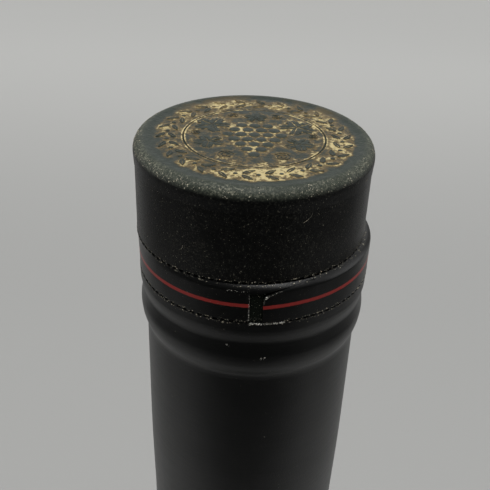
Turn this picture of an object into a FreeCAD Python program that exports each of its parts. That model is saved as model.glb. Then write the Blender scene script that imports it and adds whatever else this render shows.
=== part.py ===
# Shut bottle of cognac: a dark glass bottle whose neck and closure are wrapped in a black
# foil capsule.  The capsule is a top disc, a cap, a tear band held by punched bridges and
# a long skirt.  The band has a window cut in its front, and the end of the band beside it
# stands away as a pull tab.  What the capsule and the glass hide is solid.
#
# Millimetres.  The base stands on z = 0, +Z is up, and the pull tab is at the front, -Y.
import FreeCAD, Part
import math
import os

from FreeCAD import Vector

# ---- Bottle glass ----
body_radius = 40.5
body_top = 143.0               # the straight wall turns into the shoulder here
shoulder_round = 24.0          # convex arc above the body
neck_sweep = 40.0              # concave arc that runs out into the neck
neck_radius = 14.55
neck_waist = 0.30              # the neck draws in by this much towards its foot
heel_radius = 5.5
bearing_width = 2.2            # flat ring that the bottle stands on
punt_height = 9.0              # hollow under the base
panel_depth = 0.45             # the label panel lies back from the body by this much
panel_margin = 14.0            # from the heel, and from the shoulder, to the panel
panel_slope = 1.2              # height of the sloping step at each end of the panel

# ---- Capsule ----
overall_height = 295.0         # from the base to the flat top of the capsule
foil_thickness = 0.30
foil_fit = 0.08                # between the foil and what it wraps
closure_inset = 0.38           # the closure's head is this much slimmer than the glass ring
cap_shift = -0.57              # and sits a little to the left of the neck's axis
cap_height = 12.35             # from the flat top to the cap's punched edge
skirt_length = 57.85           # from the skirt's punched edge down to its hem
waist_start = 46.0             # the neck begins to draw in this far under the capsule's top
waist_end = 66.0               # and is at its slimmest from here down

# ---- Top disc ----
disc_overhang = 0.16           # the disc is this much wider than the cap's wall
disc_foil = 0.22
disc_fit = 0.05
lip_width = 1.3                # the lip is rounded over this width
lip_height = 1.6               # and this height
rim_height = 1.5               # turned-down rim below the lip
rim_pull_in = 0.10             # the rim closes in on the wall
ring_line_radius = 9.1         # pressed line round the middle of the disc
ring_line_width = 0.34
ring_line_depth = 0.10

# ---- Tear band ----
band_height = 5.2              # between its two lines of punched slots
band_swell = 0.06              # the band is this much fuller under its shoulder
shoulder_height = 0.85         # the band steps out from under the cap over this height
slot_height = 0.30
bridge_width = 0.38            # foil left standing between two slots
bridges_per_line = 94
band_tilt = 0.9                # degrees, right side up: the capsule sits a little crooked

# ---- Window and pull tab, in degrees round the neck from the front, right positive ----
window_left = -1.5
tab_end = 4.6                  # the tab's free end, at the window's right
torn_end = 15.0                # the tab's lower bridges are torn as far as this
tab_knee = 14.5                # the tab's upper edge rises to here and then levels out
tab_root = 29.0                # the tab bends out of the band's curve here
window_head = 0.15             # foil left between the shoulder and the window
knee_drop = 0.40               # the slit over the tab lies this far under the upper line
root_drop = 0.12               # and this far at the root
tab_slit = 0.10
tab_corner = 0.85
tab_spring = 5.0               # the tab's curve is this much wider than the band's

# ---- Glass ring under the capsule ----
ring_step = 0.79               # the ring stands this far out from the neck
ring_top_gap = 0.15            # the ring's top lies this far under the cap's edge
ring_top_round = 1.1
land_below_band = 1.25         # the ring's side is straight to here, under the skirt's edge
groove_drop = 2.1              # these heights are taken down from the end of the straight side
groove_depth = 0.30
bead_drop = 3.9
bead_rise = 0.25               # the bead stands this far out of the groove
taper_drop = 7.0
taper_rise = 0.32              # what is left of the taper above the neck there
ring_foot_drop = 8.6

axis = Vector(0, 0, 1)
origin = Vector(0, 0, 0)
full_turn = 360.0
right_side = 90.0              # profiles are drawn on the bottle's right side
shoulder_sections = 5
diagonal = math.sqrt(0.5)

ring_radius = neck_radius + ring_step
head_radius = ring_radius - closure_inset
cap_radius = head_radius + foil_fit + foil_thickness
disc_radius = cap_radius + disc_overhang
waist_radius = neck_radius - neck_waist

cap_edge_z = overall_height - cap_height
ring_top_z = cap_edge_z - ring_top_gap
band_top_z = cap_edge_z - slot_height
band_bottom_z = band_top_z - band_height
band_middle_z = 0.5 * (band_top_z + band_bottom_z)
skirt_top_z = band_bottom_z - slot_height
ring_land_z = skirt_top_z - land_below_band
band_inner = ring_radius + foil_fit
band_outer = band_inner + foil_thickness
window_top_z = band_top_z - shoulder_height - window_head


def point(radius, height):
    return Vector(radius, 0, height)


def line(start, end):
    return Part.LineSegment(start, end).toShape()


def arc(start, middle, end):
    return Part.Arc(start, middle, end).toShape()


def polyline(points):
    return [line(start, end) for start, end in zip(points, points[1:])]


def revolve(edges, degrees=full_turn):
    face = Part.Face(Part.Wire(edges))
    return face.revolve(origin, axis, degrees)


def sector(inner, outer, low_z, high_z, start, end):
    # Stretch of a ring between two angles.
    corners = [point(inner, low_z), point(outer, low_z), point(outer, high_z),
               point(inner, high_z), point(inner, low_z)]
    piece = revolve(polyline(corners), end - start)
    piece.rotate(origin, axis, start - right_side)
    return piece


def tilt(shape):
    # Both punched lines share one tilt, about the middle of the band.
    shape.rotate(Vector(0, 0, band_middle_z), Vector(0, 1, 0), -band_tilt)
    return shape


def beyond(line_z, upward):
    # All that lies above, or below, a punched line.
    reach = 4.0 * disc_radius
    foot_z = line_z if upward else line_z - overall_height
    corner = Vector(-0.5 * reach, -0.5 * reach, foot_z)
    return tilt(Part.makeBox(reach, reach, overall_height, corner))


def ring_side(offset):
    # Side of the glass ring: groove, bead and taper down to the neck, moved out by offset.
    groove_radius = ring_radius - groove_depth
    places = [
        (ring_radius, 0.0),
        (groove_radius, groove_drop),
        (groove_radius + bead_rise, bead_drop),
        (neck_radius + taper_rise, taper_drop),
        (neck_radius, ring_foot_drop),
    ]
    points = [point(radius + offset, ring_land_z - drop) for radius, drop in places]
    down = Vector(0, 0, -1)
    curve = Part.BSplineCurve()
    curve.interpolate(Points=points, InitialTangent=down, FinalTangent=down)
    return curve.toShape(), points[0], points[-1]


def waist_side(offset):
    # The neck draws in a little between two heights, moved out by offset.
    start = point(neck_radius + offset, overall_height - waist_start)
    end = point(waist_radius + offset, overall_height - waist_end)
    down = Vector(0, 0, -1)
    curve = Part.BSplineCurve()
    curve.interpolate(Points=[start, end], InitialTangent=down, FinalTangent=down)
    return curve.toShape(), start, end


def bottle_shoulder():
    # Two arcs that touch each other, the body's wall and the neck.
    step_in = body_radius - waist_radius
    turn = math.acos(1.0 - step_in / (shoulder_round + neck_sweep))
    round_centre = body_radius - shoulder_round
    sweep_centre = waist_radius + neck_sweep
    neck_z = body_top + (shoulder_round + neck_sweep) * math.sin(turn)

    def on_round(angle):
        return point(round_centre + shoulder_round * math.cos(angle),
                     body_top + shoulder_round * math.sin(angle))

    def on_sweep(angle):
        return point(sweep_centre - neck_sweep * math.cos(angle),
                     neck_z - neck_sweep * math.sin(angle))

    convex = arc(on_round(0.0), on_round(0.5 * turn), on_round(turn))
    concave = arc(on_sweep(turn), on_sweep(0.5 * turn), on_sweep(0.0))
    return [convex, concave], on_sweep(0.0)


def bottle_base():
    # Domed punt, flat bearing ring and rounded heel.
    bearing_outer = body_radius - heel_radius
    bearing_inner = bearing_outer - bearing_width
    dome_radius = (bearing_inner ** 2 + punt_height ** 2) / (2.0 * punt_height)
    half_angle = 0.5 * math.asin(bearing_inner / dome_radius)
    dome_middle = point(dome_radius * math.sin(half_angle),
                        punt_height - dome_radius * (1.0 - math.cos(half_angle)))
    dome = arc(point(0, punt_height), dome_middle, point(bearing_inner, 0))
    bearing = line(point(bearing_inner, 0), point(bearing_outer, 0))
    heel_middle = point(bearing_outer + heel_radius * diagonal,
                        heel_radius * (1.0 - diagonal))
    heel = arc(point(bearing_outer, 0), heel_middle, point(body_radius, heel_radius))
    return [dome, bearing, heel]


def make_bottle():
    panel_radius = body_radius - panel_depth
    panel_bottom = heel_radius + panel_margin
    panel_top = body_top - panel_margin
    wall = polyline([
        point(body_radius, heel_radius),
        point(body_radius, panel_bottom),
        point(panel_radius, panel_bottom + panel_slope),
        point(panel_radius, panel_top - panel_slope),
        point(body_radius, panel_top),
        point(body_radius, body_top),
    ])
    shoulder, neck_foot = bottle_shoulder()
    side, side_top, side_foot = ring_side(0.0)
    waist, waist_top, waist_foot = waist_side(0.0)
    corner_centre = point(ring_radius - ring_top_round, ring_top_z - ring_top_round)
    land_top = corner_centre + point(ring_top_round, 0)
    corner_middle = corner_centre + point(ring_top_round * diagonal, ring_top_round * diagonal)
    crown_edge = corner_centre + point(0, ring_top_round)
    edges = bottle_base() + wall + shoulder
    edges += [line(neck_foot, waist_foot), waist, line(waist_top, side_foot)]
    edges += [side, line(side_top, land_top)]
    edges += [arc(land_top, corner_middle, crown_edge)]
    edges += polyline([crown_edge, point(0, ring_top_z), point(0, punt_height)])
    return revolve(Part.__sortEdges__(edges))


def make_skirt():
    # A sleeve that follows the ring and the neck, cut square to the punched line.
    outer_ring, outer_top, outer_foot = ring_side(foil_fit + foil_thickness)
    inner_ring, inner_top, inner_foot = ring_side(foil_fit)
    outer_waist, outer_start, outer_end = waist_side(foil_fit + foil_thickness)
    inner_waist, inner_start, inner_end = waist_side(foil_fit)
    hem_z = skirt_top_z - skirt_length
    outer_hem = point(outer_end.x, hem_z)
    inner_hem = point(inner_end.x, hem_z)
    edges = [outer_ring, line(outer_foot, outer_start), outer_waist]
    edges += polyline([outer_end, outer_hem, inner_hem, inner_end])
    edges += [inner_waist, line(inner_start, inner_foot), inner_ring]
    edges += polyline([inner_top, point(inner_top.x, ring_top_z),
                       point(outer_top.x, ring_top_z), outer_top])
    sleeve = revolve(Part.__sortEdges__(edges))
    return sleeve.cut(beyond(skirt_top_z, upward=True))


def lip(inset):
    # Quarter ellipse over the disc's edge, moved in from its outside by inset.
    centre = point(disc_radius - lip_width, overall_height - lip_height)
    top = centre + point(0, lip_height - inset)
    side = centre + point(lip_width - inset, 0)
    middle = centre + point((lip_width - inset) * diagonal, (lip_height - inset) * diagonal)
    curve = Part.BSplineCurve()
    curve.interpolate(Points=[top, middle, side], InitialTangent=Vector(1, 0, 0),
                      FinalTangent=Vector(0, 0, -1))
    return curve.toShape(), top, side


def rim_foot(inset):
    return point(disc_radius - rim_pull_in - inset, overall_height - lip_height - rim_height)


def make_disc():
    # A shallow pan of thin foil, upside down, with a pressed line on its face.
    outer_lip, outer_top, outer_side = lip(0.0)
    inner_lip, inner_top, inner_side = lip(disc_foil)
    line_inner = ring_line_radius - 0.5 * ring_line_width
    line_outer = ring_line_radius + 0.5 * ring_line_width
    line_floor = point(ring_line_radius, overall_height - ring_line_depth)
    face = polyline([
        point(0, inner_top.z),
        point(0, overall_height),
        point(line_inner, overall_height),
        line_floor,
        point(line_outer, overall_height),
        outer_top,
    ])
    edges = face + [outer_lip]
    edges += polyline([outer_side, rim_foot(0.0), rim_foot(disc_foil), inner_side])
    edges += [inner_lip, line(inner_top, point(0, inner_top.z))]
    disc = revolve(Part.__sortEdges__(edges))
    disc.translate(Vector(cap_shift, 0, 0))
    return disc


def make_cap():
    # Foil wall round the closure's head, which stands on the glass ring.
    under_disc = disc_foil + disc_fit
    head_lip, head_top, head_side = lip(under_disc)
    step = rim_foot(under_disc)
    edges = [line(point(0, head_top.z), head_top), head_lip]
    edges += polyline([
        head_side,
        step,
        point(cap_radius, step.z),
        point(cap_radius, band_bottom_z),
        point(0, band_bottom_z),
        point(0, head_top.z),
    ])
    hollow = Part.makeCylinder(cap_radius - foil_thickness, ring_top_z - band_bottom_z,
                               point(0, band_bottom_z))
    head = Part.makeCylinder(head_radius, step.z - ring_top_z, point(0, ring_top_z))
    cap = revolve(Part.__sortEdges__(edges)).cut(hollow)
    cap = cap.cut(beyond(cap_edge_z, upward=False)).fuse(head).removeSplitter()
    cap.translate(Vector(cap_shift, 0, 0))
    return cap


def bridges(outer, low_z, centre_x, missing_from=0.0, missing_to=0.0):
    # The punched line: what is left of the foil between its slots.
    half_angle = math.degrees(0.5 * bridge_width / outer)
    step = full_turn / bridges_per_line
    pieces = []
    for number in range(bridges_per_line):
        angle = number * step
        if missing_from < angle < missing_to:
            continue
        bridge = sector(outer - foil_thickness, outer, low_z, low_z + slot_height,
                        angle - half_angle, angle + half_angle)
        bridge.translate(Vector(centre_x, 0, 0))
        pieces.append(bridge)
    return pieces


def band_shoulder():
    # Steps out from the shifted cap to the full round of the band.
    def skin(inset):
        rings = []
        for number in range(shoulder_sections):
            down = number / (shoulder_sections - 1)
            out = 1.0 - (1.0 - down) ** 2
            full = band_inner + foil_thickness + band_swell
            radius = cap_radius + out * (full - cap_radius) - inset
            centre = Vector(cap_shift * (1.0 - out), 0, band_top_z - down * shoulder_height)
            rings.append(Part.Wire(Part.makeCircle(radius, centre, axis)))
        return Part.makeLoft(rings, True, False)

    return skin(0.0).cut(skin(foil_thickness))


def band_wall():
    # The band's side below its shoulder, a little fuller at the top.
    wall_top_z = band_top_z - shoulder_height
    return revolve(polyline([
        point(band_inner + band_swell, wall_top_z),
        point(band_outer + band_swell, wall_top_z),
        point(band_outer, band_bottom_z),
        point(band_inner, band_bottom_z),
        point(band_inner + band_swell, wall_top_z),
    ]))


def on_front(degrees, height):
    # A place on the band's front, moved straight forward to a plane clear of it.
    across = band_outer * math.sin(math.radians(degrees))
    return Vector(across, -2.0 * disc_radius, height)


def slit_edge(start, drop):
    # Upper or lower side of the slit over the tab, from start to the tab's root.
    knee = on_front(tab_knee, band_top_z - knee_drop - drop)
    root = on_front(tab_root, band_top_z - root_drop - drop)
    curve = Part.BSplineCurve()
    curve.interpolate(Points=[start, knee, root])
    return curve.toShape(), root


def through_front(edges):
    # A block with the given outline, from the plane in front back to the neck's axis.
    outline = Part.Face(Part.Wire(Part.__sortEdges__(edges)))
    return outline.extrude(Vector(0, 2.0 * disc_radius, 0))


def make_opening():
    # Window, slit and tab in one: all that the band's round leaves out at the front.
    foot_z = band_bottom_z - 2.0 * slot_height
    window = sector(band_inner - 4.0 * foil_thickness, band_outer + 2.0 * foil_thickness,
                    foot_z, band_top_z, window_left, tab_root)
    slit_start = on_front(tab_end, window_top_z)
    slit, slit_root = slit_edge(slit_start, 0.0)
    beyond_root = Vector(foil_thickness, 0, 0)
    outside = [
        slit_root,
        slit_root + beyond_root,
        on_front(tab_root, foot_z) + beyond_root,
        on_front(window_left, foot_z) - beyond_root,
        on_front(window_left, window_top_z) - beyond_root,
        slit_start,
    ]
    return window.common(through_front([slit] + polyline(outside)))


def make_tab(round_foil):
    # The foil's own section at the root, swept back on a wider curve, so that the free end
    # springs off the glass.  The upper corner of that end is rounded.
    turn = math.radians(tab_root)
    outward = Vector(math.sin(turn), -math.cos(turn), 0)
    inner = outward * (band_inner - 4.0 * foil_thickness)
    outer = outward * (band_outer + 2.0 * foil_thickness)
    low = Vector(0, 0, band_bottom_z - slot_height)
    high = Vector(0, 0, band_top_z + slot_height)
    root_plane = Part.Face(Part.Wire(polyline(
        [inner + low, outer + low, outer + high, inner + high, inner + low])))
    section = root_plane.common(round_foil).Faces[0]
    span = (tab_root - window_left) * band_outer / (band_outer + tab_spring)
    swept = section.revolve(outward * -tab_spring, axis, -span)

    foot_z = band_bottom_z - 2.0 * slot_height
    corner = on_front(tab_end, window_top_z - tab_slit)
    corner_start = corner - Vector(0, 0, tab_corner)
    corner_middle = corner + Vector(1.0 - diagonal, 0, diagonal - 1.0) * tab_corner
    corner_end = corner + Vector(tab_corner, 0, 0)
    edge, edge_root = slit_edge(corner_end, tab_slit)
    beyond_root = Vector(foil_thickness, 0, 0)
    outside = [
        edge_root,
        edge_root + beyond_root,
        on_front(tab_root, foot_z) + beyond_root,
        on_front(tab_end, foot_z),
        corner_start,
    ]
    edges = [arc(corner_start, corner_middle, corner_end), edge] + polyline(outside)
    return swept.common(through_front(edges))


def make_band():
    round_foil = band_shoulder().fuse(band_wall()).removeSplitter()
    tab = make_tab(round_foil)
    lower = bridges(band_outer, band_bottom_z - slot_height, 0.0, window_left, torn_end)
    upper = bridges(cap_radius, band_top_z, cap_shift)
    return tilt(round_foil.cut(make_opening()).fuse([tab] + lower + upper))


parts = {
    "bottle": make_bottle(),
    "capsule_skirt": make_skirt(),
    "tear_band": make_band(),
    "capsule_cap": make_cap(),
    "top_disc": make_disc(),
}

os.makedirs("parts", exist_ok=True)
for node, shape in parts.items():
    solids = shape.Solids
    print(node, len(solids), "solid", round(shape.Volume, 2), "mm3, valid", shape.isValid())
    solids[0].exportStep("parts/" + node + ".step")
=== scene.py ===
import math
import random

import bpy
from mathutils import Matrix, Vector, noise
from mathutils.bvhtree import BVHTree
from mathutils.kdtree import KDTree


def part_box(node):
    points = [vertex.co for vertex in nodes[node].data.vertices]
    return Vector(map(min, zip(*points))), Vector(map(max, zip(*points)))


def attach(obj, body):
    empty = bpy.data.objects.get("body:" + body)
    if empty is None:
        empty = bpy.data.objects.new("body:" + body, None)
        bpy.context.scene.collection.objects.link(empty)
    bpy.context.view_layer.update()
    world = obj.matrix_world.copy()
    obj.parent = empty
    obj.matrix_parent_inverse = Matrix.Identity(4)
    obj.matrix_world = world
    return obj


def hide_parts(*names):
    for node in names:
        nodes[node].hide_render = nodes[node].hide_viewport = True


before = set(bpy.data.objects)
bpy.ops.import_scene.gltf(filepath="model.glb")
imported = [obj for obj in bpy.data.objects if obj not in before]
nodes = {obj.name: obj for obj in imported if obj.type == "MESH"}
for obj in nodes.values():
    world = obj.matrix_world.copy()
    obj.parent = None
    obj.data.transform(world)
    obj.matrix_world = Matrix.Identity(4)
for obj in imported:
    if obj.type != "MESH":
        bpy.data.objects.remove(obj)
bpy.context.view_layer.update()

mm = 0.001

# lengths below are in millimetres, heights from the ground and drops from the top;
# turns round the bottle are in degrees to the right of the front
discLow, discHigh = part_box("top_disc")
top = discHigh.z / mm
capCentre = 0.5 * (discLow.x + discHigh.x) / mm        # the cap sits off the neck's axis
discRadius = 0.5 * (discHigh.x - discLow.x) / mm
print("frame read: top", round(top, 2), "cap centre", round(capCentre, 2),
      "disc radius", round(discRadius, 2))

band = {
    "tilt": 0.9,                                       # degrees, right side up
    "radius": 15.6,
    "upperLine": 12.5,                                 # how far the punched lines lie below the top
    "lowerLine": 18.0,
    "slots": 94,                                       # punched through each line
    "redLine": 15.45,
    "redWidth": 0.51,
}
bandSlope = math.tan(math.radians(band["tilt"]))


class Wire:                                            # one socket, so that maths reads as maths
    def __init__(self, sheet, socket):
        self.sheet = sheet
        self.socket = socket

    def __add__(self, other):
        return self.sheet.maths("ADD", self, other)

    def __sub__(self, other):
        return self.sheet.maths("SUBTRACT", self, other)

    def __rsub__(self, other):
        return self.sheet.maths("SUBTRACT", other, self)

    def __mul__(self, other):
        return self.sheet.maths("MULTIPLY", self, other)

    def __pow__(self, other):
        return self.sheet.maths("POWER", self, other)

    def __abs__(self):
        return self.sheet.maths("ABSOLUTE", self)

    __radd__ = __add__
    __rmul__ = __mul__


class Sheet:                                           # one material's node tree
    def __init__(self, name):
        self.material = bpy.data.materials.new(name)
        self.material.use_nodes = True
        self.tree = self.material.node_tree
        self.tree.nodes.clear()
        self.place = self.node("ShaderNodeTexCoord", {}, {}, "Object")

    def node(self, kind, settings, inputs, output=0):
        made = self.tree.nodes.new(kind)
        for name, value in settings.items():
            setattr(made, name, value)
        for name, value in inputs.items():
            if isinstance(value, Wire):
                self.tree.links.new(value.socket, made.inputs[name])
            else:
                made.inputs[name].default_value = value
        return Wire(self, made.outputs[output]) if len(made.outputs) else None

    def maths(self, operation, first, second=0.0):
        return self.node("ShaderNodeMath", {"operation": operation}, {0: first, 1: second})

    def axes(self):
        split = self.node("ShaderNodeSeparateXYZ", {}, {0: self.place})
        return [Wire(self, out) for out in split.socket.node.outputs]

    def rise(self, value, low, high):                  # smooth 0 to 1 between low and high
        return self.node("ShaderNodeMapRange", {"interpolation_type": "SMOOTHSTEP"},
                         {"Value": value, "From Min": low, "From Max": high})

    def grain(self, perMetre, detail=2.0, rough=0.5):
        return self.node("ShaderNodeTexNoise", {},
                         {"Vector": self.place, "Scale": perMetre, "Detail": detail, "Roughness": rough})

    def streaks(self, perMetre, detail, rough):        # grain of a different fineness on each axis
        stretched = self.node("ShaderNodeMapping", {}, {"Vector": self.place, "Scale": perMetre})
        return self.node("ShaderNodeTexNoise", {},
                         {"Vector": stretched, "Scale": 1.0, "Detail": detail, "Roughness": rough})

    def attribute(self, name):
        return self.node("ShaderNodeAttribute", {"attribute_name": name}, {}, 2)

    def awayFrom(self, x, y, centreX=0.0, centreY=0.0):
        return ((x - centreX * mm) ** 2.0 + (y - centreY * mm) ** 2.0) ** 0.5

    def blend(self, factor, first, second):
        return self.node("ShaderNodeMix", {"data_type": "RGBA"}, {0: factor, 6: first, 7: second}, 2)

    def bump(self, height, distance, normal=None):     # distance in millimetres
        inputs = {"Height": height, "Distance": distance * mm, "Strength": 1.0}
        if normal:
            inputs["Normal"] = normal
        return self.node("ShaderNodeBump", {}, inputs)

    def finish(self, inputs):
        surface = self.node("ShaderNodeBsdfPrincipled", {}, inputs)
        self.node("ShaderNodeOutputMaterial", {}, {"Surface": surface})
        return self.material


def dress(piece, material):
    piece.data.materials.clear()
    piece.data.materials.append(material)


def deselectAll():
    bpy.ops.object.select_all(action="DESELECT")


def selectOnly(piece):
    deselectAll()
    piece.select_set(True)
    bpy.context.view_layer.objects.active = piece


def startEdit(piece):
    selectOnly(piece)
    bpy.ops.object.mode_set(mode="EDIT")
    bpy.ops.mesh.select_mode(type="VERT")
    bpy.ops.mesh.select_all(action="SELECT")


def mergeDoubles():
    bpy.ops.mesh.remove_doubles(threshold=0.0005 * mm)


def endEdit():                                         # closed seams, and faces that point outwards
    bpy.ops.mesh.select_all(action="SELECT")
    mergeDoubles()
    bpy.ops.mesh.normals_make_consistent(inside=False)
    bpy.ops.object.mode_set(mode="OBJECT")


def spinProfile(name, profile, steps, centreX):        # profile: (radius, height)
    deselectAll()
    bpy.ops.mesh.primitive_plane_add(size=mm, location=(0, 0, 0))
    piece = bpy.context.object
    piece.name = name
    startEdit(piece)
    bpy.ops.mesh.merge(type="CENTER")
    bpy.ops.transform.translate(value=(profile[0][0] * mm, 0, profile[0][1] * mm))
    for start, end in zip(profile, profile[1:]):
        stride = ((end[0] - start[0]) * mm, 0, (end[1] - start[1]) * mm)
        bpy.ops.mesh.extrude_region_move(TRANSFORM_OT_translate={"value": stride})
    bpy.ops.mesh.select_all(action="SELECT")
    bpy.ops.mesh.spin(steps=steps, angle=2 * math.pi, center=(0, 0, 0), axis=(0, 0, 1))
    bpy.ops.mesh.select_all(action="SELECT")
    bpy.ops.transform.translate(value=(centreX * mm, 0, 0))
    endEdit()
    return piece


def tube(name, points, thick, roundness):              # a capped tube along a smooth curve, made a mesh
    curve = bpy.data.curves.new(name, "CURVE")
    curve.dimensions = "3D"
    spline = curve.splines.new("NURBS")
    spline.points.add(len(points) - 1)
    for corner, point in zip(spline.points, points):
        corner.co = (*point, 1)
    spline.order_u = 3
    spline.use_endpoint_u = True
    curve.bevel_depth = thick * mm
    curve.bevel_resolution = roundness
    curve.use_fill_caps = True
    piece = bpy.data.objects.new(name, curve)
    bpy.context.scene.collection.objects.link(piece)
    selectOnly(piece)
    bpy.ops.object.convert(target="MESH")
    return bpy.context.object


def joined(name, pieces):                              # one piece of many, at the origin
    deselectAll()
    for piece in pieces:
        piece.select_set(True)
    bpy.context.view_layer.objects.active = pieces[0]
    bpy.ops.object.join()
    whole = bpy.context.object
    bpy.ops.object.transform_apply(location=True, rotation=True, scale=True)
    whole.name = name
    return whole


def copyOf(piece, place, turn=0.0, scale=(1, 1, 1)):
    copy = piece.copy()
    copy.data = piece.data.copy()
    bpy.context.scene.collection.objects.link(copy)
    copy.location = place
    copy.rotation_euler.z = turn
    copy.scale = scale
    return copy


def smooth(piece, degrees=40.0):
    selectOnly(piece)
    bpy.ops.object.shade_smooth_by_angle(angle=math.radians(degrees))


def settle(piece, material):                     # dress it, and let it ride on the bottle
    dress(piece, material)
    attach(piece, "root")


foil = {
    "black": (0.0018, 0.0020, 0.0019, 1),
    "dust": (0.24, 0.23, 0.18, 1),
    "red": (0.29, 0.018, 0.014, 1),
    "capRough": 0.40, "capSpecular": 0.34, "capGrain": 0.030, "capDents": 0.12,
    "bandRough": 0.36, "bandSpecular": 0.42, "bandGrain": 0.018, "bandDents": 0.08,
    "skirtRough": 0.35, "skirtSpecular": 0.54, "skirtGrain": 0.014, "skirtDents": 0.10,
    "capDust": 0.13, "capBright": 0.6,                 # how much of the dust's colour shows
    "bandDust": 0.3, "skirtDust": 0.6,
    "brushing": 0.012,                                 # depth of the skirt's brushed lines
}


def capFoil():                                         # the dusty cap wall
    s = Sheet("capFoil")
    settled = s.rise(s.grain(240.0, 2.0), 0.30, 0.70)
    speck = s.rise(s.grain(4800.0, 2.0, 0.75), 0.53, 0.68) * (0.3 + 0.9 * settled)
    bright = s.rise(s.grain(3900.0, 1.0, 0.6), 0.70, 0.80)
    dents = s.bump(s.grain(160.0, 1.0), foil["capDents"])
    dusted = speck * foil["capDust"] + bright * foil["capBright"]
    return s.finish({
        "Base Color": s.blend(dusted, foil["black"], foil["dust"]),
        "Roughness": foil["capRough"] + 0.25 * speck,
        "Specular IOR Level": foil["capSpecular"],
        "Normal": s.bump(s.grain(5200.0, 3.0, 0.62), foil["capGrain"], dents),
    })


def bandFoil():                                        # the same foil with the red line
    s = Sheet("bandFoil")
    x, y, z = s.axes()
    wander = (s.grain(2500.0, 2.0) * 0.10 - 0.05) * mm
    away = abs(z - x * bandSlope - (top - band["redLine"]) * mm) + wander
    line = 1.0 - s.rise(away, 0.44 * band["redWidth"] * mm, 0.56 * band["redWidth"] * mm)
    speck = s.rise(s.grain(4600.0, 2.0, 0.7), 0.66, 0.78)
    wall = s.blend(speck * foil["bandDust"], foil["black"], foil["dust"])
    dents = s.bump(s.grain(220.0, 1.0), foil["bandDents"])
    return s.finish({
        "Base Color": s.blend(line * (0.82 + 0.3 * s.grain(900.0, 3.0)), wall, foil["red"]),
        "Roughness": foil["bandRough"] + 0.2 * speck,
        "Specular IOR Level": foil["bandSpecular"],
        "Normal": s.bump(s.grain(5200.0, 3.0, 0.62), foil["bandGrain"], dents),
    })


def skirtFoil():                                       # smoother, lightly brushed round the neck
    s = Sheet("skirtFoil")
    brushed = s.streaks((130.0, 130.0, 2600.0), 3.0, 0.6)
    speck = s.rise(s.grain(2600.0, 2.0, 0.6), 0.74, 0.80)
    dents = s.bump(s.grain(110.0, 1.0), foil["skirtDents"])
    return s.finish({
        "Base Color": s.blend(speck * foil["skirtDust"], foil["black"], foil["dust"]),
        "Roughness": foil["skirtRough"] + 0.10 * brushed,
        "Specular IOR Level": foil["skirtSpecular"],
        "Normal": s.bump(s.grain(4200.0, 2.0, 0.6), foil["skirtGrain"],
                         s.bump(brushed, foil["brushing"], dents)),
    })


glass = {
    "deep": (0.006, 0.008, 0.006, 1),
    "smeared": (0.012, 0.016, 0.011, 1),
    "rough": 0.06,
    "wave": 0.5,
    "seamHalfWidth": 0.28,                             # the mould's seam, up both sides from the heel
    "seamHeight": 0.06,
}


def darkGlass():
    s = Sheet("darkGlass")
    x, y, z = s.axes()
    smear = s.grain(30.0, 4.0, 0.6)
    seam = (1.0 - s.rise(abs(y), 0.05 * mm, glass["seamHalfWidth"] * mm)) * s.rise(z, 3.0 * mm, 6.0 * mm)
    return s.finish({
        "Base Color": s.blend(smear, glass["deep"], glass["smeared"]),
        "Roughness": glass["rough"] + 0.12 * s.rise(smear, 0.45, 0.75),
        "Normal": s.bump(seam, glass["seamHeight"], s.bump(s.grain(45.0, 1.0), glass["wave"])),
    })


medallion = {
    "sink": 0.13,                                      # the face lies this far under the lip's crest
    "height": 0.12,                                    # how far the embossing stands up
    "ringLine": 9.1,
    "bandInner": 9.55,                                 # the wreath lies between these
    "bandOuter": 12.85,
    "grape": 0.78,
    "bunch": [3, 4, 5, 4, 3, 2, 1],                    # grapes in each row, from the back
    "bunchFront": -5.6,                                # how far back the front grape lies
    "grapePitch": (1.72, 1.50),                        # across, and from row to row
    # across, back, turn in radians, size
    "vineLeaves": [(5.6, 3.3, 0.7, 2.6), (-5.6, 3.3, 2.44, 2.6), (5.7, -2.1, -0.2, 2.1),
                   (-5.7, -2.1, 3.34, 2.1), (0.1, 6.3, 1.6, 1.7)],
    # across, back, turn in radians, 1 or -1 for the hand, size
    "curls": [(-3.5, -5.9, 0.4, 1, 0.9), (3.5, -5.9, 2.6, -1, 0.9), (-7.5, 0.6, 1.9, 1, 0.55),
              (7.5, 0.6, 1.2, -1, 0.55), (-2.9, 6.9, 3.2, 1, 0.6), (2.9, 6.9, 0.0, -1, 0.6)],
    "curlTurns": 2, "curlReach": 1.25, "curlThick": 0.10, "curlFlatness": 0.65,
    "leafPairs": 26,
    "leafLength": 1.85, "leafWidth": 0.86,
    "leafLean": 0.62,                                  # radians away from the wreath's run
    "leafGap": 0.22,                                   # of each leaf from the wreath's middle
    "bead": 0.42,                                      # as a share of a grape
    "beadPlace": 0.72,                                 # as a share of the way to the next pair
}
faceZ = top - medallion["sink"]
wreathMiddle = 0.5 * (medallion["bandInner"] + medallion["bandOuter"])

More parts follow.
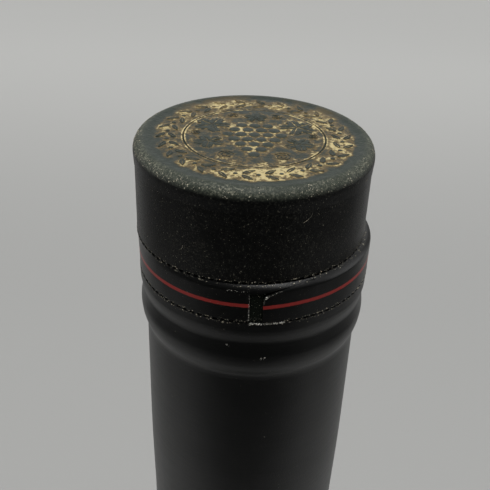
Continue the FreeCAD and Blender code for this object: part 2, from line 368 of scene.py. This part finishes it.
gilding = {
    "bareDark": (0.007, 0.014, 0.009, 1),
    "barePale": (0.026, 0.035, 0.026, 1),
    "scuffed": (0.066, 0.075, 0.060, 1),
    "dusty": (0.20, 0.20, 0.15, 1),
    "dullGold": (0.145, 0.102, 0.042, 1),
    "brightGold": (0.66, 0.55, 0.28, 1),
    "metallic": 0.7,
    "rough": 0.40,
    "specular": 0.27,
    "cling": 0.70,                                     # gold stays this far round the embossing
    "ringFlank": 0.38,                                 # and this far to each side of the ring line
    "lipDust": (1.7, 0.7),                             # starts and is full this far in from the disc's edge
    # where much of it is left: across, back, size, amount
    "patches": [(1.2, -11.6, 5.0, 1.0), (5.6, -10.3, 3.6, 0.9), (-3.9, -10.6, 2.2, 0.8),
                (-7.6, -8.4, 1.9, 0.6), (10.6, -1.6, 4.2, 0.75), (9.6, -6.4, 2.6, 0.55),
                (8.6, 6.3, 4.2, 0.5), (3.6, 2.4, 3.6, 0.28), (5.9, 3.6, 3.0, 0.40),
                (-1.1, -3.4, 2.6, 0.32), (-2.4, 2.7, 3.4, 0.62), (-4.2, 10.6, 4.4, 0.42),
                (-10.9, 2.4, 3.2, 0.40), (-7.2, 5.2, 2.8, 0.30), (-10.0, 6.6, 3.0, 0.30),
                (3.0, 11.3, 3.5, 0.35)],
}


def goldLeft(s, x, y, out, coarse, dapple):            # how much of the gilding the wear has left
    ring, inner, outer = medallion["ringLine"], medallion["bandInner"], medallion["bandOuter"]
    near = s.attribute("nearRelief")
    raised = s.attribute("raised")
    fromLine = abs(out - ring * mm)
    flank = (1.0 - s.rise(fromLine, 0.20 * mm, gilding["ringFlank"] * mm)) \
        * s.rise(fromLine, 0.08 * mm, 0.15 * mm)
    inside = 1.0 - s.rise(out, (ring - 0.3) * mm, ring * mm)
    wreath = s.rise(out, (inner - 0.3) * mm, inner * mm) \
        * (1.0 - s.rise(out, (outer - 0.25) * mm, (outer + 0.1) * mm))
    patch = 0.0
    for across, back, size, amount in gilding["patches"]:
        away = s.awayFrom(x, y, capCentre + across, back)
        patch = (1.0 - s.rise(away, 0.25 * size * mm, size * mm)) * amount + patch
    backward = s.rise(y, -9.0 * mm, 9.0 * mm)
    crescent = s.rise(out, 7.0 * mm, 8.3 * mm) * inside * (1.0 - backward) \
        * s.rise(s.grain(620.0, 4.0, 0.7), 0.44, 0.62)
    haze = s.rise(s.grain(300.0, 5.0, 0.68), 0.44, 0.68) * (1.0 - s.rise(out, 11.9 * mm, 13.4 * mm))
    wiped = s.rise(y, 3.0 * mm, 10.0 * mm)             # an even veil of gold lies at the back
    veil = wiped * s.rise(s.grain(260.0, 4.0, 0.6), 0.28, 0.60) \
        * s.rise(out, 9.2 * mm, 10.0 * mm) * (1.0 - s.rise(out, 13.6 * mm, 14.8 * mm))
    left = 0.66 * wreath * patch + near * (0.55 + 0.60 * patch) \
        + flank * (0.65 + 0.80 * backward + 0.30 * patch) \
        + 0.48 * inside * patch + 0.95 * crescent + 0.13 * wreath
    worn = (0.30 + 0.85 * coarse) * (1.0 - 0.35 * wiped)
    rubbed = (0.45 + 0.75 * dapple) * (1.0 - (0.95 - 0.3 * wiped) * raised)
    return (left * worn + 0.36 * haze) * rubbed + 0.24 * veil


def discFoil():                                        # satin grey-green foil, gold worn off it
    s = Sheet("discFoil")
    x, y, z = s.axes()
    out = s.awayFrom(x, y, capCentre)
    fine = s.grain(2400.0, 4.0, 0.7)
    coarse = s.rise(s.grain(520.0, 4.0, 0.65), 0.36, 0.66)
    dapple = s.rise(fine, 0.36, 0.64)
    left = goldLeft(s, x, y, out, coarse, dapple)
    gold = s.rise(left, 0.06, 0.44)
    bright = s.rise(left, 0.36, 1.10)

    dustStart, dustFull = gilding["lipDust"]
    side = s.rise((top - 0.5) * mm - z, 0.0, 1.0 * mm)  # below the lip it is as black as the wall
    lip = s.rise(out, (discRadius - dustStart) * mm, (discRadius - dustFull) * mm) * (1.0 - side)
    grease = s.rise(s.grain(900.0, 5.0, 0.7), 0.32, 0.68)
    scuff = s.rise(s.streaks((700.0, 2600.0, 700.0), 4.0, 0.7), 0.50, 0.72)
    speck = s.rise(s.grain(4300.0, 2.0, 0.7), 0.62, 0.76)
    drift = s.rise(s.grain(190.0, 3.0, 0.6), 0.30, 0.62)
    grit = s.rise(s.grain(3300.0, 3.0, 0.8), 0.46, 0.68) * lip * (0.35 + 0.85 * drift)
    bare = s.blend(0.55 * grease + 0.45 * dapple, gilding["bareDark"], gilding["barePale"])
    bare = s.blend(0.5 * scuff, bare, gilding["scuffed"])
    bare = s.blend(side, bare, foil["black"])
    bare = s.blend(speck * 0.35 + 0.74 * grit + 0.09 * lip, bare, gilding["dusty"])
    metal = s.blend(bright, gilding["dullGold"], gilding["brightGold"])
    return s.finish({
        "Base Color": s.blend(gold, bare, metal),
        "Metallic": gilding["metallic"] * gold,
        "Roughness": gilding["rough"] + 0.14 * grease + 0.12 * lip,
        "Specular IOR Level": gilding["specular"],
        "Normal": s.bump(fine, 0.030, s.bump(s.grain(5200.0, 2.0), 0.022, s.bump(coarse, 0.03))),
    })


pan = {                                                # the disc: a pressed foil pan, upside down
    "lipWidth": 1.3,
    "lipHeight": 1.6,
    "lipSteps": 12,
    "ramp": 1.0,                                       # from the face up to the lip's crest
    "rim": 1.5,                                        # turned down below the lip
    "pullIn": 0.10,
    "wall": 0.22,
    "step": 0.24,                                      # from one ring of faces to the next
    "ringSection": [(-0.24, 0.0), (-0.12, 0.02), (0.0, -0.11), (0.12, 0.02), (0.24, 0.0)],
    "ringRoom": 0.3,                                   # to each side of the ring line, for that section
    "blackFrom": 1.45,                                 # below this drop it is the cap wall's foil
    "stepsRound": 240,
}


def makeDisc():
    crest = discRadius - pan["lipWidth"]
    groove = medallion["ringLine"]
    lipFoot = top - pan["lipHeight"]
    under = top - pan["wall"] - medallion["sink"]
    profile = [(0.0, faceZ)]
    out = pan["step"]
    while out < crest - pan["ramp"]:
        if abs(out - groove) > pan["ringRoom"]:
            profile.append((out, faceZ))
        elif abs(out - groove) < 0.5 * pan["step"]:
            profile += [(groove + across, faceZ + rise) for across, rise in pan["ringSection"]]
        out += pan["step"]
    for share in (0.25, 0.5, 0.75):
        profile.append((crest - pan["ramp"] + share * pan["ramp"],
                        faceZ + medallion["sink"] * (share ** 2) * (3 - 2 * share)))
    for number in range(pan["lipSteps"] + 1):
        turn = 0.5 * math.pi * number / pan["lipSteps"]
        profile.append((crest + pan["lipWidth"] * math.sin(turn),
                        top - pan["lipHeight"] * (1 - math.cos(turn))))
    for share in (0.25, 0.5, 0.75, 1.0):
        profile.append((discRadius - pan["pullIn"] * share, lipFoot - share * pan["rim"]))
    profile += [(discRadius - pan["pullIn"] - pan["wall"], lipFoot - pan["rim"]),
                (discRadius - pan["wall"], lipFoot), (crest, under), (0.0, under)]
    return spinProfile("topDisc", profile, pan["stepsRound"], capCentre)


def makeGrape():                                       # a low dome, one grape of the bunch
    deselectAll()
    bpy.ops.mesh.primitive_uv_sphere_add(segments=20, ring_count=12, radius=medallion["grape"] * mm)
    grape = bpy.context.object
    grape.scale.z = medallion["height"] / medallion["grape"]
    bpy.ops.object.transform_apply(scale=True)
    return grape


def makeWreathLeaf():                                  # small and pointed, its stalk end at the origin
    deselectAll()
    bpy.ops.mesh.primitive_grid_add(x_subdivisions=16, y_subdivisions=10, size=1.0, location=(0, 0, 0))
    leaf = bpy.context.object
    for corner in leaf.data.vertices:
        along = corner.co.x + 0.5
        side = 2.0 * corner.co.y
        half = math.sin(math.pi * along ** 0.8) ** 0.8 if 0.001 < along < 0.999 else 0.0
        vein = max(0.0, 1.0 - 4.0 * abs(side))
        height = medallion["height"] * min(1.0, 4.0 * half) * (1.0 - side ** 4) * (0.9 - 0.55 * vein)
        corner.co = Vector((along * medallion["leafLength"], 0.5 * medallion["leafWidth"] * half * side,
                            height - 0.01)) * mm
    startEdit(leaf)
    mergeDoubles()                                     # each tip is one point
    bpy.ops.mesh.extrude_region_move(TRANSFORM_OT_translate={"value": (0, 0, -0.05 * mm)})
    endEdit()
    return leaf


vineLeaf = {
    "edgePoints": 100,
    "rings": 9,
    "halfLobes": 2.5,                                  # five lobes in a full turn
    "lobeDepth": 0.45,
    "teeth": 30,
    "toothDepth": 0.05,
    "stalkNotch": 0.29,                                # radians to each side of the stalk
    "notchReach": 0.55,                                # how far the leaf reaches there
    "veinDepth": 0.72,                                 # as a share of the embossing's height
}


def makeVineLeaf():                                    # lobed, with a toothed edge and sunk veins
    deselectAll()
    bpy.ops.mesh.primitive_circle_add(vertices=vineLeaf["edgePoints"], radius=mm, fill_type="NOTHING",
                                      location=(0, 0, 0))
    leaf = bpy.context.object
    startEdit(leaf)
    for left in range(vineLeaf["rings"], 0, -1):       # rings still to come, this one among them
        shrink = (left - 1) / left if left > 1 else 0.02
        bpy.ops.mesh.extrude_region_move()
        bpy.ops.transform.resize(value=(shrink, shrink, 1), center_override=(0, 0, 0))
    bpy.ops.mesh.merge(type="CENTER")
    endEdit()
    for corner in leaf.data.vertices:
        out = corner.co.xy.length / mm
        turn = math.atan2(corner.co.y, corner.co.x)
        lobe = abs(math.cos(vineLeaf["halfLobes"] * turn)) ** 0.8
        across = abs(math.sin(vineLeaf["halfLobes"] * turn))
        edge = 1.0 - vineLeaf["lobeDepth"] + vineLeaf["lobeDepth"] * lobe \
            + vineLeaf["toothDepth"] * math.cos(vineLeaf["teeth"] * turn)
        if abs(turn) > math.pi - vineLeaf["stalkNotch"]:
            edge *= vineLeaf["notchReach"]
        vein = max(0.0, 1.0 - 6.0 * out * across)
        rib = max(0.0, math.cos(6.0 * math.pi * out - 3.5 * across)) ** 6
        sunk = vineLeaf["veinDepth"] * max(vein, 0.8 * rib)
        height = medallion["height"] * (0.92 - sunk) * (1.0 - out ** 12)
        corner.co = Vector((corner.co.x * edge, corner.co.y * edge, (height - 0.01) * mm))
    startEdit(leaf)
    bpy.ops.mesh.extrude_region_move(TRANSFORM_OT_translate={"value": (0, 0, -0.04 * mm)})
    endEdit()
    return leaf


def makeCurl():                                        # a curl of vine: a tube along a spiral
    count = 12 * medallion["curlTurns"]
    points = []
    for number in range(count + 1):
        turn = 2 * math.pi * number / 12
        reach = medallion["curlReach"] * (1.0 - 0.82 * number / count)
        points.append((reach * math.cos(turn) * mm, reach * math.sin(turn) * mm, 0))
    curl = tube("curl", points, medallion["curlThick"], 2)
    startEdit(curl)
    endEdit()                                          # the end caps join the tube
    return curl


def onFace(across, back):                              # a place on the disc's face
    return Vector(((capCentre + across), back, faceZ)) * mm


def bunchOfGrapes():
    grape = makeGrape()
    rows, (pitchAcross, pitchBack) = medallion["bunch"], medallion["grapePitch"]
    grapes = []
    for row, count in enumerate(rows):
        for number in range(count):
            place = onFace(pitchAcross * (number - 0.5 * (count - 1)),
                           medallion["bunchFront"] + pitchBack * (len(rows) - 1 - row))
            uneven = 1.0 - 0.06 * ((row + number) % 3)
            grapes.append(copyOf(grape, place, 0.3 * number, (1.0, 1.0, uneven)))
    bpy.data.objects.remove(grape)
    return grapes


def vineRound():                                       # leaves and curls round the bunch
    leaf = makeVineLeaf()
    vine = [copyOf(leaf, onFace(across, back), turn, (size, size, 1))
            for across, back, turn, size in medallion["vineLeaves"]]
    bpy.data.objects.remove(leaf)
    curl = makeCurl()
    vine += [copyOf(curl, onFace(across, back), turn, (size, hand * size, medallion["curlFlatness"]))
             for across, back, turn, hand, size in medallion["curls"]]
    bpy.data.objects.remove(curl)
    return vine


def wreathRound():                                     # pairs of leaves with a bead after each
    leaf = makeWreathLeaf()
    bead = makeGrape()
    wreath = []
    pitch = 2 * math.pi / medallion["leafPairs"]
    for number in range(medallion["leafPairs"]):
        turn = 2 * math.pi * number / medallion["leafPairs"]
        spot = Vector((math.cos(turn), math.sin(turn)))
        for side in (1, -1):
            place = onFace(*(spot * (wreathMiddle + medallion["leafGap"] * side)))
            wreath.append(copyOf(leaf, place, turn + 0.5 * math.pi - medallion["leafLean"] * side))
        turn += medallion["beadPlace"] * pitch
        place = onFace(wreathMiddle * math.cos(turn), wreathMiddle * math.sin(turn))
        wreath.append(copyOf(bead, place, 0, (medallion["bead"], medallion["bead"], 0.9)))
    bpy.data.objects.remove(leaf)
    bpy.data.objects.remove(bead)
    return wreath


def makeEmbossing():
    whole = joined("medallionRelief", bunchOfGrapes() + vineRound() + wreathRound())
    startEdit(whole)
    bpy.ops.mesh.normals_make_consistent(inside=False)
    bpy.ops.object.mode_set(mode="OBJECT")
    return whole


def clamped(value):                                    # kept between 0 and 1
    return max(0.0, min(1.0, value))


def markNearness(disc, relief):                        # how near the embossing lies, for the gold
    finder = KDTree(len(relief.data.vertices))
    for number, corner in enumerate(relief.data.vertices):
        finder.insert((corner.co.x, corner.co.y, 0.0), number)
    finder.balance()
    near = disc.data.attributes.new("nearRelief", "FLOAT", "POINT")
    for number, corner in enumerate(disc.data.vertices):
        gap = finder.find((corner.co.x, corner.co.y, 0.0))[2] / mm
        onTop = corner.co.z > (faceZ - 0.2) * mm
        near.data[number].value = clamped(1.0 - gap / gilding["cling"]) if onTop else 0.0
    near = relief.data.attributes.new("nearRelief", "FLOAT", "POINT")
    raised = relief.data.attributes.new("raised", "FLOAT", "POINT")
    for number, corner in enumerate(relief.data.vertices):
        rise = (corner.co.z / mm - faceZ) / medallion["height"]
        near.data[number].value = clamped(1.05 - 1.5 * rise)
        raised.data[number].value = clamped(3.0 * (rise - 0.32))


gilt = discFoil()
wallFoil = capFoil()
disc = makeDisc()
relief = makeEmbossing()
markNearness(disc, relief)
smooth(disc)
smooth(relief, 60.0)
settle(disc, gilt)
disc.data.materials.append(wallFoil)                   # the turned-down rim is black like the wall
for face in disc.data.polygons:
    if face.center.z < (top - pan["blackFrom"]) * mm:
        face.material_index = 1
settle(relief, gilt)
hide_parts("top_disc")
print("disc and medallion done")

dress(nodes["capsule_skirt"], skirtFoil())
dress(nodes["tear_band"], bandFoil())
dress(nodes["capsule_cap"], wallFoil)
dress(nodes["bottle"], darkGlass())
print("materials done")

dust = {
    "seed": 11,
    # how many grains lie at each place, and the smallest and largest
    "lip": (2300, 0.010, 0.080),
    "wall": (4300, 0.010, 0.030),
    "band": (700, 0.008, 0.030),
    "skirt": (300, 0.008, 0.030),
    "window": (40, 0.012, 0.045),
    "upperLine": (15, 0.017, 0.070),                   # at each punched slot
    "lowerLine": (15, 0.017, 0.086),
    "tornEdge": (120, 0.022, 0.085),
    "cutSide": (48, 0.015, 0.060),
    "tabCorner": (46, 0.012, 0.055),
    "tabCornerHighlight": (26, 0.020, 0.075),
    "scoredLine": (22, 0.015, 0.050),
    "dentDustAndHighlight": (4, 0.020, 0.070),
    # where it starts, how much further down it reaches, and how fast it thins out on the way
    "wallDrop": (1.5, 10.6, 0.8),
    "skirtDrop": (18.5, 55, 2),
    "bandDrop": (13.0, 17.8),                          # spread evenly between these
    "clumps": 40,                                      # on the lip
    "clumpSpread": 9,                                  # degrees
    "shapes": 6,                                       # different crumbs, and how uneven they are
    "jag": 0.35,
    "grey": (0.13, 0.125, 0.10, 1),
    "pale": (0.45, 0.41, 0.31, 1),
    "edgeGrey": (0.30, 0.29, 0.25, 1),                 # the bare metal of a torn edge; the same pale grains paint the highlight on the tab's corner, and partly the highlights in the skirt's dents
    "edgePale": (0.78, 0.76, 0.70, 1),
}
tear = {                                               # the band's window, and its end that is a loose tab
    "windowLeft": -1.6, "windowRight": 4.4,
    "windowTop": 13.7, "windowFoot": 18.0,
    "tornRight": 15.0,                                 # the edge is torn from the window to here
    "tornRadius": 15.84,
    "tabCorner": (4.8, 15.0),                          # turn and drop where its rounded corner starts
    "tabSpan": (7.7, -1.7),                            # and how far the corner runs from there
    "tabCornerHighlight": (5.9, 13.95),                           # pale grains here paint the highlight where its lifted corner catches the light
    "scoredDrop": 13.42, "scoredRun": 10.5,            # a scored line, on to the left of the window
    # turn and drop of the pale grains in two small dents of the skirt: partly dust, partly the dents'
    # highlight painted on
    "dents": [(-11.4, 21.9), (-10.6, 22.0), (5.0, 23.7), (5.9, 23.8), (6.4, 23.6)],
}
chance = random.Random(dust["seed"])


def paleDust(name, dark, light):
    s = Sheet(name)
    return s.finish({
        "Base Color": s.blend(s.rise(s.grain(2300.0, 2.0), 0.35, 0.65), dark, light),
        "Roughness": 0.85,
        "Normal": s.bump(s.grain(9000.0, 2.0), 0.01),
    })


def makeSurface():                                     # what the dust lands on
    corners, faces = [], []
    for piece in (nodes["bottle"], nodes["capsule_cap"], nodes["tear_band"], nodes["capsule_skirt"], disc):
        first = len(corners)
        corners += [corner.co.copy() for corner in piece.data.vertices]
        faces += [[first + number for number in face.vertices] for face in piece.data.polygons]
    return BVHTree.FromPolygons(corners, faces)


surface = makeSurface()


def outwards(turn):
    turn = math.radians(turn)
    return Vector((math.sin(turn), -math.cos(turn), 0))


def landing(turn, drop):                               # the place and normal of the wall there
    outward = outwards(turn)
    outside = outward * 30 * mm + Vector((0, 0, top - drop)) * mm
    return surface.ray_cast(outside, -outward)[:2]


def landingOnDisc(turn, out):
    turn = math.radians(turn)
    above = Vector((capCentre + out * math.sin(turn), -out * math.cos(turn), top + 5)) * mm
    return surface.ray_cast(above, Vector((0, 0, -1)))[:2]


def makeCrumb():                                       # a lump of twenty faces
    deselectAll()
    bpy.ops.mesh.primitive_ico_sphere_add(subdivisions=1, radius=mm, location=(0, 0, 0))
    crumb = bpy.context.object
    for corner in crumb.data.vertices:
        corner.co *= 1.0 + dust["jag"] * chance.uniform(-1, 1)
    return crumb


def scatter(name, shapes, spots):                      # one mesh; a spot is place, normal, size and stretch
    corners, faces = [], []
    for place, normal, size, stretch in spots:
        shape = chance.choice(shapes).data
        aim = normal.to_track_quat("Z", "Y").to_matrix().to_4x4()
        spin = Matrix.Rotation(chance.uniform(0, 2 * math.pi), 4, "Z")
        grow = Matrix.Diagonal((size * stretch, size, size * 0.7, 1))
        move = Matrix.Translation(place) @ aim @ spin @ grow
        first = len(corners)
        grain = [move @ corner.co for corner in shape.vertices]
        sunk = max(0.0, max(corner.z for corner in grain) - top * mm)      # none stands above the lip
        corners += [corner - Vector((0, 0, sunk)) for corner in grain]
        faces += [[first + number for number in face.vertices] for face in shape.polygons]
    mesh = bpy.data.meshes.new(name)
    mesh.from_pydata(corners, [], faces)
    piece = bpy.data.objects.new(name, mesh)
    bpy.context.scene.collection.objects.link(piece)
    return piece


def grains(kind, findPlace, longest=1.8, shortest=1.0):            # many small ones, few large ones
    count, smallest, largest = dust[kind]
    spots = []
    for number in range(count):
        place, normal = findPlace()
        size = smallest + (largest - smallest) * chance.random() ** 3
        spots.append((place, normal, size, chance.uniform(shortest, longest)))
    return spots


def anywhere(dropOf):                                  # at any turn, as far down as dropOf says
    return lambda: landing(chance.uniform(-180, 180), dropOf())


def thinning(kind):                                    # one drop from the top, drawn at random
    start, reach, power = dust[kind]
    return start + reach * chance.random() ** power


def lineDrop(turn, line):                              # how far a punched line lies below the top there
    return band[line] - band["radius"] * math.sin(math.radians(turn)) * bandSlope


def atSlot(slot, line):                                # a burr on either side of a punched slot
    turn = math.degrees((slot + chance.gauss(0.5, 0.30)) * 2 * math.pi / band["slots"])
    drop = lineDrop(turn, line) + chance.choice((-0.20, 0.22)) + chance.gauss(0, 0.09)
    return landing(turn, drop)


def onTornEdge():                                      # the ragged edge under the tab
    turn = chance.uniform(tear["windowLeft"], tear["tornRight"])
    ragged = 0.16 * noise.noise(Vector((1.3 * turn, 0, 0)))
    drop = lineDrop(turn, "lowerLine") + 0.06 + ragged + chance.gauss(0, 0.06)
    outward = outwards(turn)
    return outward * tear["tornRadius"] * mm + Vector((0, 0, top - drop)) * mm, outward


def onCutSide():                                       # the window's left side
    return landing(tear["windowLeft"] - 0.02 + chance.gauss(0, 0.10),
                   chance.uniform(tear["windowTop"], tear["windowFoot"]))


def onTabCorner():
    (turn, drop), (turnSpan, dropSpan) = tear["tabCorner"], tear["tabSpan"]
    along = chance.random()
    return landing(turn + turnSpan * along ** 2,
                   drop + dropSpan * along ** 0.6 + chance.gauss(0, 0.05))


def inWindow():                                        # dust on the glass
    return landing(chance.uniform(tear["windowLeft"] + 0.3, tear["windowRight"]),
                   chance.uniform(tear["windowTop"] + 0.1, tear["windowFoot"] - 0.1))


def onScoredLine():
    turn = tear["windowLeft"] - tear["scoredRun"] * chance.random() ** 1.3
    return landing(turn, tear["scoredDrop"] + chance.gauss(0, 0.05))


def about(turn, drop, turnSpread, dropSpread):         # close round one spot
    return lambda: landing(chance.gauss(turn, turnSpread), drop + chance.gauss(0, dropSpread))


def makeDust():                                        # the order of these calls sets where each grain lies
    shapes = [makeCrumb() for number in range(dust["shapes"])]
    clumps = [chance.uniform(-180, 180) for number in range(dust["clumps"])]

    def onLip():
        turn = chance.gauss(chance.choice(clumps), dust["clumpSpread"])
        return landingOnDisc(turn, discRadius - abs(chance.gauss(0, 0.42)) - 0.03)

    lip = grains("lip", onLip)
    wall = grains("wall", anywhere(lambda: thinning("wallDrop")), 1.5)
    wall += grains("band", anywhere(lambda: chance.uniform(*dust["bandDrop"])), 1.7)
    wall += grains("skirt", anywhere(lambda: thinning("skirtDrop")), 1.7)
    burrs = []
    for line in ("upperLine", "lowerLine"):
        for slot in range(band["slots"]):
            burrs += grains(line, lambda: atSlot(slot, line))
    torn = grains("tornEdge", onTornEdge) + grains("cutSide", onCutSide, 1.6) \
        + grains("tabCorner", onTabCorner)
    wall += grains("window", inWindow)
    torn += grains("scoredLine", onScoredLine, 2.0, 1.2)
    # pale grains that paint the highlight on the tab's lifted corner
    torn += grains("tabCornerHighlight", about(*tear["tabCornerHighlight"], 0.5, 0.12), 1.6)
    # pale grains in the skirt's dents: partly dust, partly painted highlight
    for turn, drop in tear["dents"]:
        torn += grains("dentDustAndHighlight", about(turn, drop, 0.4, 0.07), 1.6)

    pale = paleDust("paleDust", dust["grey"], dust["pale"])
    bare = paleDust("bareEdgeAndHighlights", dust["edgeGrey"], dust["edgePale"])
    for name, spots, material in (("lipDust", lip, pale), ("wallDust", wall, pale),
                                  ("punchBurrs", burrs, pale), ("tornBurrsAndHighlights", torn, bare)):
        piece = scatter(name, shapes, [spot for spot in spots if spot[0]])
        settle(piece, material)
    for shape in shapes:
        bpy.data.objects.remove(shape)


lint = {
    "thick": 0.017,
    "bow": 0.10,                                       # as a share of the length
    "lift": 0.03,                                      # off the foil
    # turn, drop, lean in radians, length
    "fibres": [(23.0, 4.0, 0.75, 1.5), (62.0, 2.2, 0.15, 1.2), (-34.0, 9.2, 1.2, 0.7),
               (140.0, 6.0, 0.4, 1.1), (-118.0, 25.0, 1.1, 1.3)],
}


def makeLint():                                        # short fibres caught on the foil
    fibres = []
    up = Vector((0, 0, 1))
    for turn, drop, lean, length in lint["fibres"]:
        place, normal = landing(turn, drop)
        across = normal.cross(up).normalized()
        along = (across * -math.cos(lean) + up * math.sin(lean)).normalized()
        points = []
        for number in range(5):
            offset = number / 4 - 0.5
            bow = lint["bow"] * length * (1 - 4 * offset * offset)
            point = place + (along * offset * length + along.cross(normal) * bow) * mm
            point += normal * lint["lift"] * mm
            points.append(point)
        fibres.append(tube("fibre", points, lint["thick"], 1))
    piece = joined("lint", fibres)
    smooth(piece, 80.0)
    settle(piece, paleDust("lintHair", dust["grey"], dust["pale"]))


makeDust()
makeLint()
print("dust done")

studio = {                                             # lengths in metres
    # the floor's colours: the darker near one is painted shade in front and round the bottle
    "near": (0.385, 0.385, 0.375, 1),
    "far": (0.560, 0.560, 0.544, 1),
    "reach": 2.6,                                      # from the bottle to the floor's edge
    "paintedShadeFade": (0.36, 1.0),                              # the darker near colour, painted shade on the floor in front and round the bottle, turns to the paler far one between these
    "melt": (1.0, 2.2),                                # and the floor to the backdrop between these
    "backdrop": (0.53, 0.53, 0.515, 1),
    "air": (0.97, 1.0, 0.99, 1),
    "airStrength": 0.05,
    "paintedShadeBlack": (0.01, 0.01, 0.01, 1),
    "cardHeight": 0.002,
    # black cards on the floor, seen only in reflections, as painted shade for the dark floor in front and
    # at the sides: their near left and far right corners
    "flags": {
        "frontFlag": ((-1.6, -2.2), (1.6, -0.175)),
        "leftFlag": ((-1.6, -0.175), (-0.37, 0.35)),
        "rightFlag": ((0.37, -0.175), (1.6, 0.35)),
    },
    # place, what it points at, width and height, watts
    "lamps": {
        "backBox": ((0, 2.4, 1.5), (0, 0, 0.25), (4.0, 2.2), 23.0),
        "topBox": ((0, -0.3, 2.0), (0, 0, 0.2), (1.5, 1.5), 34.0),
        "leftBox": ((-2.3, 0.4, 1.1), (0, 0, 0.25), (2.2, 2.0), 17.0),
        "rightBox": ((2.3, 0.4, 1.1), (0, 0, 0.25), (2.2, 2.0), 17.0),
    },
}


def makeFloor():
    deselectAll()
    bpy.ops.mesh.primitive_plane_add(size=2 * studio["reach"], location=(0, 0, 0))
    floor = bpy.context.object
    floor.name = "floor"
    s = Sheet("floorPaper")
    x, y, z = s.axes()
    # the paper is painted darker in front and round the bottle as painted shade, and paler behind
    paper = s.node("ShaderNodeBsdfPrincipled", {}, {
        "Base Color": s.blend(s.rise(y, *studio["paintedShadeFade"]), studio["near"], studio["far"]),
        "Roughness": 0.9,
        "Normal": s.bump(s.grain(700.0, 3.0), 0.05),
    })
    backdrop = s.node("ShaderNodeEmission", {}, {"Color": studio["backdrop"]})
    seen = s.node("ShaderNodeLightPath", {}, {}, "Is Camera Ray")
    melted = seen * s.rise(s.awayFrom(x, y), *studio["melt"])      # for the camera alone
    blend = s.node("ShaderNodeMixShader", {}, {0: melted, 1: paper, 2: backdrop})
    s.node("ShaderNodeOutputMaterial", {}, {"Surface": blend})
    dress(floor, s.material)


def makeFlag(name, low, high):                         # a black card that only reflections see, as painted shade
    deselectAll()
    bpy.ops.mesh.primitive_plane_add(size=1.0)
    flag = bpy.context.object
    flag.name = name
    flag.scale = (high[0] - low[0], high[1] - low[1], 1)
    flag.location = (0.5 * (low[0] + high[0]), 0.5 * (low[1] + high[1]), studio["cardHeight"])
    s = Sheet("paintedShadeCard")
    dress(flag, s.finish({"Base Color": studio["paintedShadeBlack"], "Roughness": 1.0,
                          "Specular IOR Level": 0.0}))
    for ray in ("camera", "diffuse", "transmission", "shadow", "volume_scatter"):
        setattr(flag, "visible_" + ray, False)


def makeWorld():
    world = bpy.data.worlds.new("studio")
    world.use_nodes = True
    tree = world.node_tree
    dim = tree.nodes["Background"]
    dim.inputs["Color"].default_value = studio["air"]
    dim.inputs["Strength"].default_value = studio["airStrength"]
    backdrop = tree.nodes.new("ShaderNodeBackground")  # what the camera sees past the floor
    backdrop.inputs["Color"].default_value = studio["backdrop"]
    seen = tree.nodes.new("ShaderNodeLightPath")
    choose = tree.nodes.new("ShaderNodeMixShader")
    tree.links.new(seen.outputs["Is Camera Ray"], choose.inputs[0])
    tree.links.new(dim.outputs[0], choose.inputs[1])
    tree.links.new(backdrop.outputs[0], choose.inputs[2])
    tree.links.new(choose.outputs[0], tree.nodes["World Output"].inputs["Surface"])
    bpy.context.scene.world = world


def makeLamp(name, place, target, size, power):
    light = bpy.data.lights.new(name, "AREA")
    light.shape = "RECTANGLE"
    light.size, light.size_y = size
    light.energy = power
    lamp = bpy.data.objects.new(name, light)
    bpy.context.scene.collection.objects.link(lamp)
    lamp.location = place
    lamp.rotation_euler = (Vector(target) - Vector(place)).to_track_quat("-Z", "Y").to_euler()


camera = {
    "lens": 55.98,
    "side": -1.22, "front": -90.3, "above": 38.8,      # millimetres from the bottle's axis and top
    "down": 31.47, "lean": 2.31,                       # degrees
}


def makeCamera():
    lens = bpy.data.cameras.new("camera")
    lens.lens = camera["lens"]
    lens.clip_start = 0.005
    eye = bpy.data.objects.new("camera", lens)
    bpy.context.scene.collection.objects.link(eye)
    down = Matrix.Rotation(math.radians(90.0 - camera["down"]), 4, "X")
    lean = Matrix.Rotation(math.radians(camera["lean"]), 4, "Z")
    place = Matrix.Translation(Vector((camera["side"], camera["front"], top + camera["above"])) * mm)
    eye.matrix_world = place @ down @ lean
    bpy.context.scene.camera = eye


makeFloor()
for name, corners in studio["flags"].items():
    makeFlag(name, *corners)
makeWorld()
for name, settings in studio["lamps"].items():
    makeLamp(name, *settings)
makeCamera()
bpy.context.scene.view_settings.view_transform = "Standard"
print("studio done")
